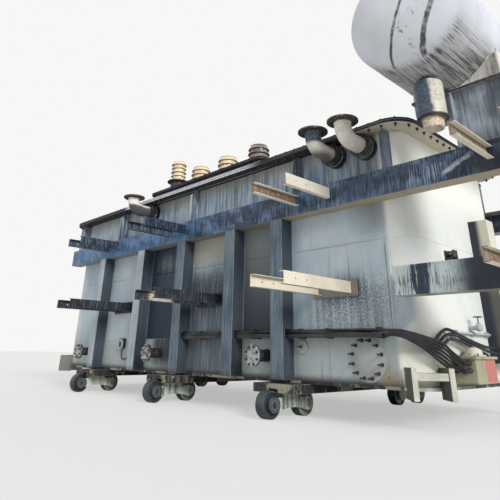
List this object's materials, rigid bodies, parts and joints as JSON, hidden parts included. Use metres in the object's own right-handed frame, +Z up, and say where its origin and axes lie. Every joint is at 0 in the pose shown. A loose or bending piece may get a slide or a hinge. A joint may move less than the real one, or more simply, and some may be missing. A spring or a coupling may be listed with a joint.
{
  "type": "power transformer",
  "caption": "Large oil-filled power transformer tank with conservator, bushing stumps, empty cooler arms and roller bogies, taken down for transport.",
  "frame": {"origin": "middle of the overall box, on the level that the rollers stand on", "axes": "+X along the tank towards the conservator, +Y from the pictured side to the other, +Z up"},
  "size_m": [11.85, 6.0006, 5.6562],
  "materials": {
    "tank_paint": "aged light grey paint with grime streaks",
    "oiled_paint": "dark paint soaked with oil, semi-gloss",
    "cover_paint": "dull dark grey paint",
    "arm_paint": "worn cream paint with rust",
    "drum_paint": "light grey paint with oily streaks",
    "elbow_paint": "cream grey paint, oil stained",
    "base_paint": "brown rusted paint",
    "bogie_iron": "light grey-green painted casting",
    "roller_iron": "dark worn iron",
    "porcelain": "glazed porcelain",
    "breather_paint": "beige paint, dirty",
    "cable_rubber": "black cable sheaths on a dark tray"
  },
  "bodies": {
    "transformer": {"base_plate": "base_paint", "belt_front": "oiled_paint", "belt_rear": "oiled_paint", "bogie_front_1": "bogie_iron", "bogie_front_2": "bogie_iron", "bogie_front_3": "bogie_iron", "bogie_rear_1": "bogie_iron", "bogie_rear_2": "bogie_iron", "bogie_rear_3": "bogie_iron", "breather": "breather_paint", "bushing_1": "porcelain", "bushing_2": "porcelain", "bushing_3": "porcelain", "bushing_4": "porcelain", "cable_run": "cable_rubber", "conservator_drum": "drum_paint", "conservator_stand_front": "drum_paint", "conservator_stand_rear": "drum_paint", "cover": "cover_paint", "elbow_front_1": "elbow_paint", "elbow_front_2": "elbow_paint", "elbow_front_3": "elbow_paint", "elbow_rear_1": "elbow_paint", "elbow_rear_2": "elbow_paint", "elbow_rear_3": "elbow_paint", "lower_arms_front_1": "arm_paint", "lower_arms_front_2": "arm_paint", "lower_arms_front_3": "arm_paint", "lower_arms_rear_1": "arm_paint", "lower_arms_rear_2": "arm_paint", "lower_arms_rear_3": "arm_paint", "lower_beam_front": "oiled_paint", "lower_beam_rear": "oiled_paint", "rib_front_1": "tank_paint", "rib_front_2": "tank_paint", "rib_front_3": "tank_paint", "rib_front_4": "tank_paint", "rib_front_5": "tank_paint", "rib_rear_1": "tank_paint", "rib_rear_2": "tank_paint", "rib_rear_3": "tank_paint", "rib_rear_4": "tank_paint", "rib_rear_5": "tank_paint", "skid_1": "base_paint", "skid_2": "base_paint", "skid_3": "base_paint", "tank_body": "tank_paint", "top_flange": "oiled_paint"},
    "roller_front_1_outer": {"roller_front_1_outer": "roller_iron"},
    "roller_front_1_inner": {"roller_front_1_inner": "roller_iron"},
    "roller_rear_1_outer": {"roller_rear_1_outer": "roller_iron"},
    "roller_rear_1_inner": {"roller_rear_1_inner": "roller_iron"},
    "roller_front_2_outer": {"roller_front_2_outer": "roller_iron"},
    "roller_front_2_inner": {"roller_front_2_inner": "roller_iron"},
    "roller_rear_2_outer": {"roller_rear_2_outer": "roller_iron"},
    "roller_rear_2_inner": {"roller_rear_2_inner": "roller_iron"},
    "roller_front_3_outer": {"roller_front_3_outer": "roller_iron"},
    "roller_front_3_inner": {"roller_front_3_inner": "roller_iron"},
    "roller_rear_3_outer": {"roller_rear_3_outer": "roller_iron"},
    "roller_rear_3_inner": {"roller_rear_3_inner": "roller_iron"}
  },
  "joints": [
    {"name": "roller_front_1_outer_spin", "type": "hinge", "parent": "transformer", "child": "roller_front_1_outer", "pos_m": [-3.8368, -2.05, 0.17727], "axis": [1, 0, 0], "continuous": true},
    {"name": "roller_front_1_inner_spin", "type": "hinge", "parent": "transformer", "child": "roller_front_1_inner", "pos_m": [-3.8368, -1.33, 0.17727], "axis": [1, 0, 0], "continuous": true},
    {"name": "roller_rear_1_outer_spin", "type": "hinge", "parent": "transformer", "child": "roller_rear_1_outer", "pos_m": [-3.8368, 2.05, 0.17727], "axis": [1, 0, 0], "continuous": true},
    {"name": "roller_rear_1_inner_spin", "type": "hinge", "parent": "transformer", "child": "roller_rear_1_inner", "pos_m": [-3.8368, 1.33, 0.17727], "axis": [1, 0, 0], "continuous": true},
    {"name": "roller_front_2_outer_spin", "type": "hinge", "parent": "transformer", "child": "roller_front_2_outer", "pos_m": [-1.0068, -2.05, 0.17727], "axis": [1, 0, 0], "continuous": true},
    {"name": "roller_front_2_inner_spin", "type": "hinge", "parent": "transformer", "child": "roller_front_2_inner", "pos_m": [-1.0068, -1.33, 0.17727], "axis": [1, 0, 0], "continuous": true},
    {"name": "roller_rear_2_outer_spin", "type": "hinge", "parent": "transformer", "child": "roller_rear_2_outer", "pos_m": [-1.0068, 2.05, 0.17727], "axis": [1, 0, 0], "continuous": true},
    {"name": "roller_rear_2_inner_spin", "type": "hinge", "parent": "transformer", "child": "roller_rear_2_inner", "pos_m": [-1.0068, 1.33, 0.17727], "axis": [1, 0, 0], "continuous": true},
    {"name": "roller_front_3_outer_spin", "type": "hinge", "parent": "transformer", "child": "roller_front_3_outer", "pos_m": [1.8232, -2.05, 0.17727], "axis": [1, 0, 0], "continuous": true},
    {"name": "roller_front_3_inner_spin", "type": "hinge", "parent": "transformer", "child": "roller_front_3_inner", "pos_m": [1.8232, -1.33, 0.17727], "axis": [1, 0, 0], "continuous": true},
    {"name": "roller_rear_3_outer_spin", "type": "hinge", "parent": "transformer", "child": "roller_rear_3_outer", "pos_m": [1.8232, 2.05, 0.17727], "axis": [1, 0, 0], "continuous": true},
    {"name": "roller_rear_3_inner_spin", "type": "hinge", "parent": "transformer", "child": "roller_rear_3_inner", "pos_m": [1.8232, 1.33, 0.17727], "axis": [1, 0, 0], "continuous": true}
  ]
}
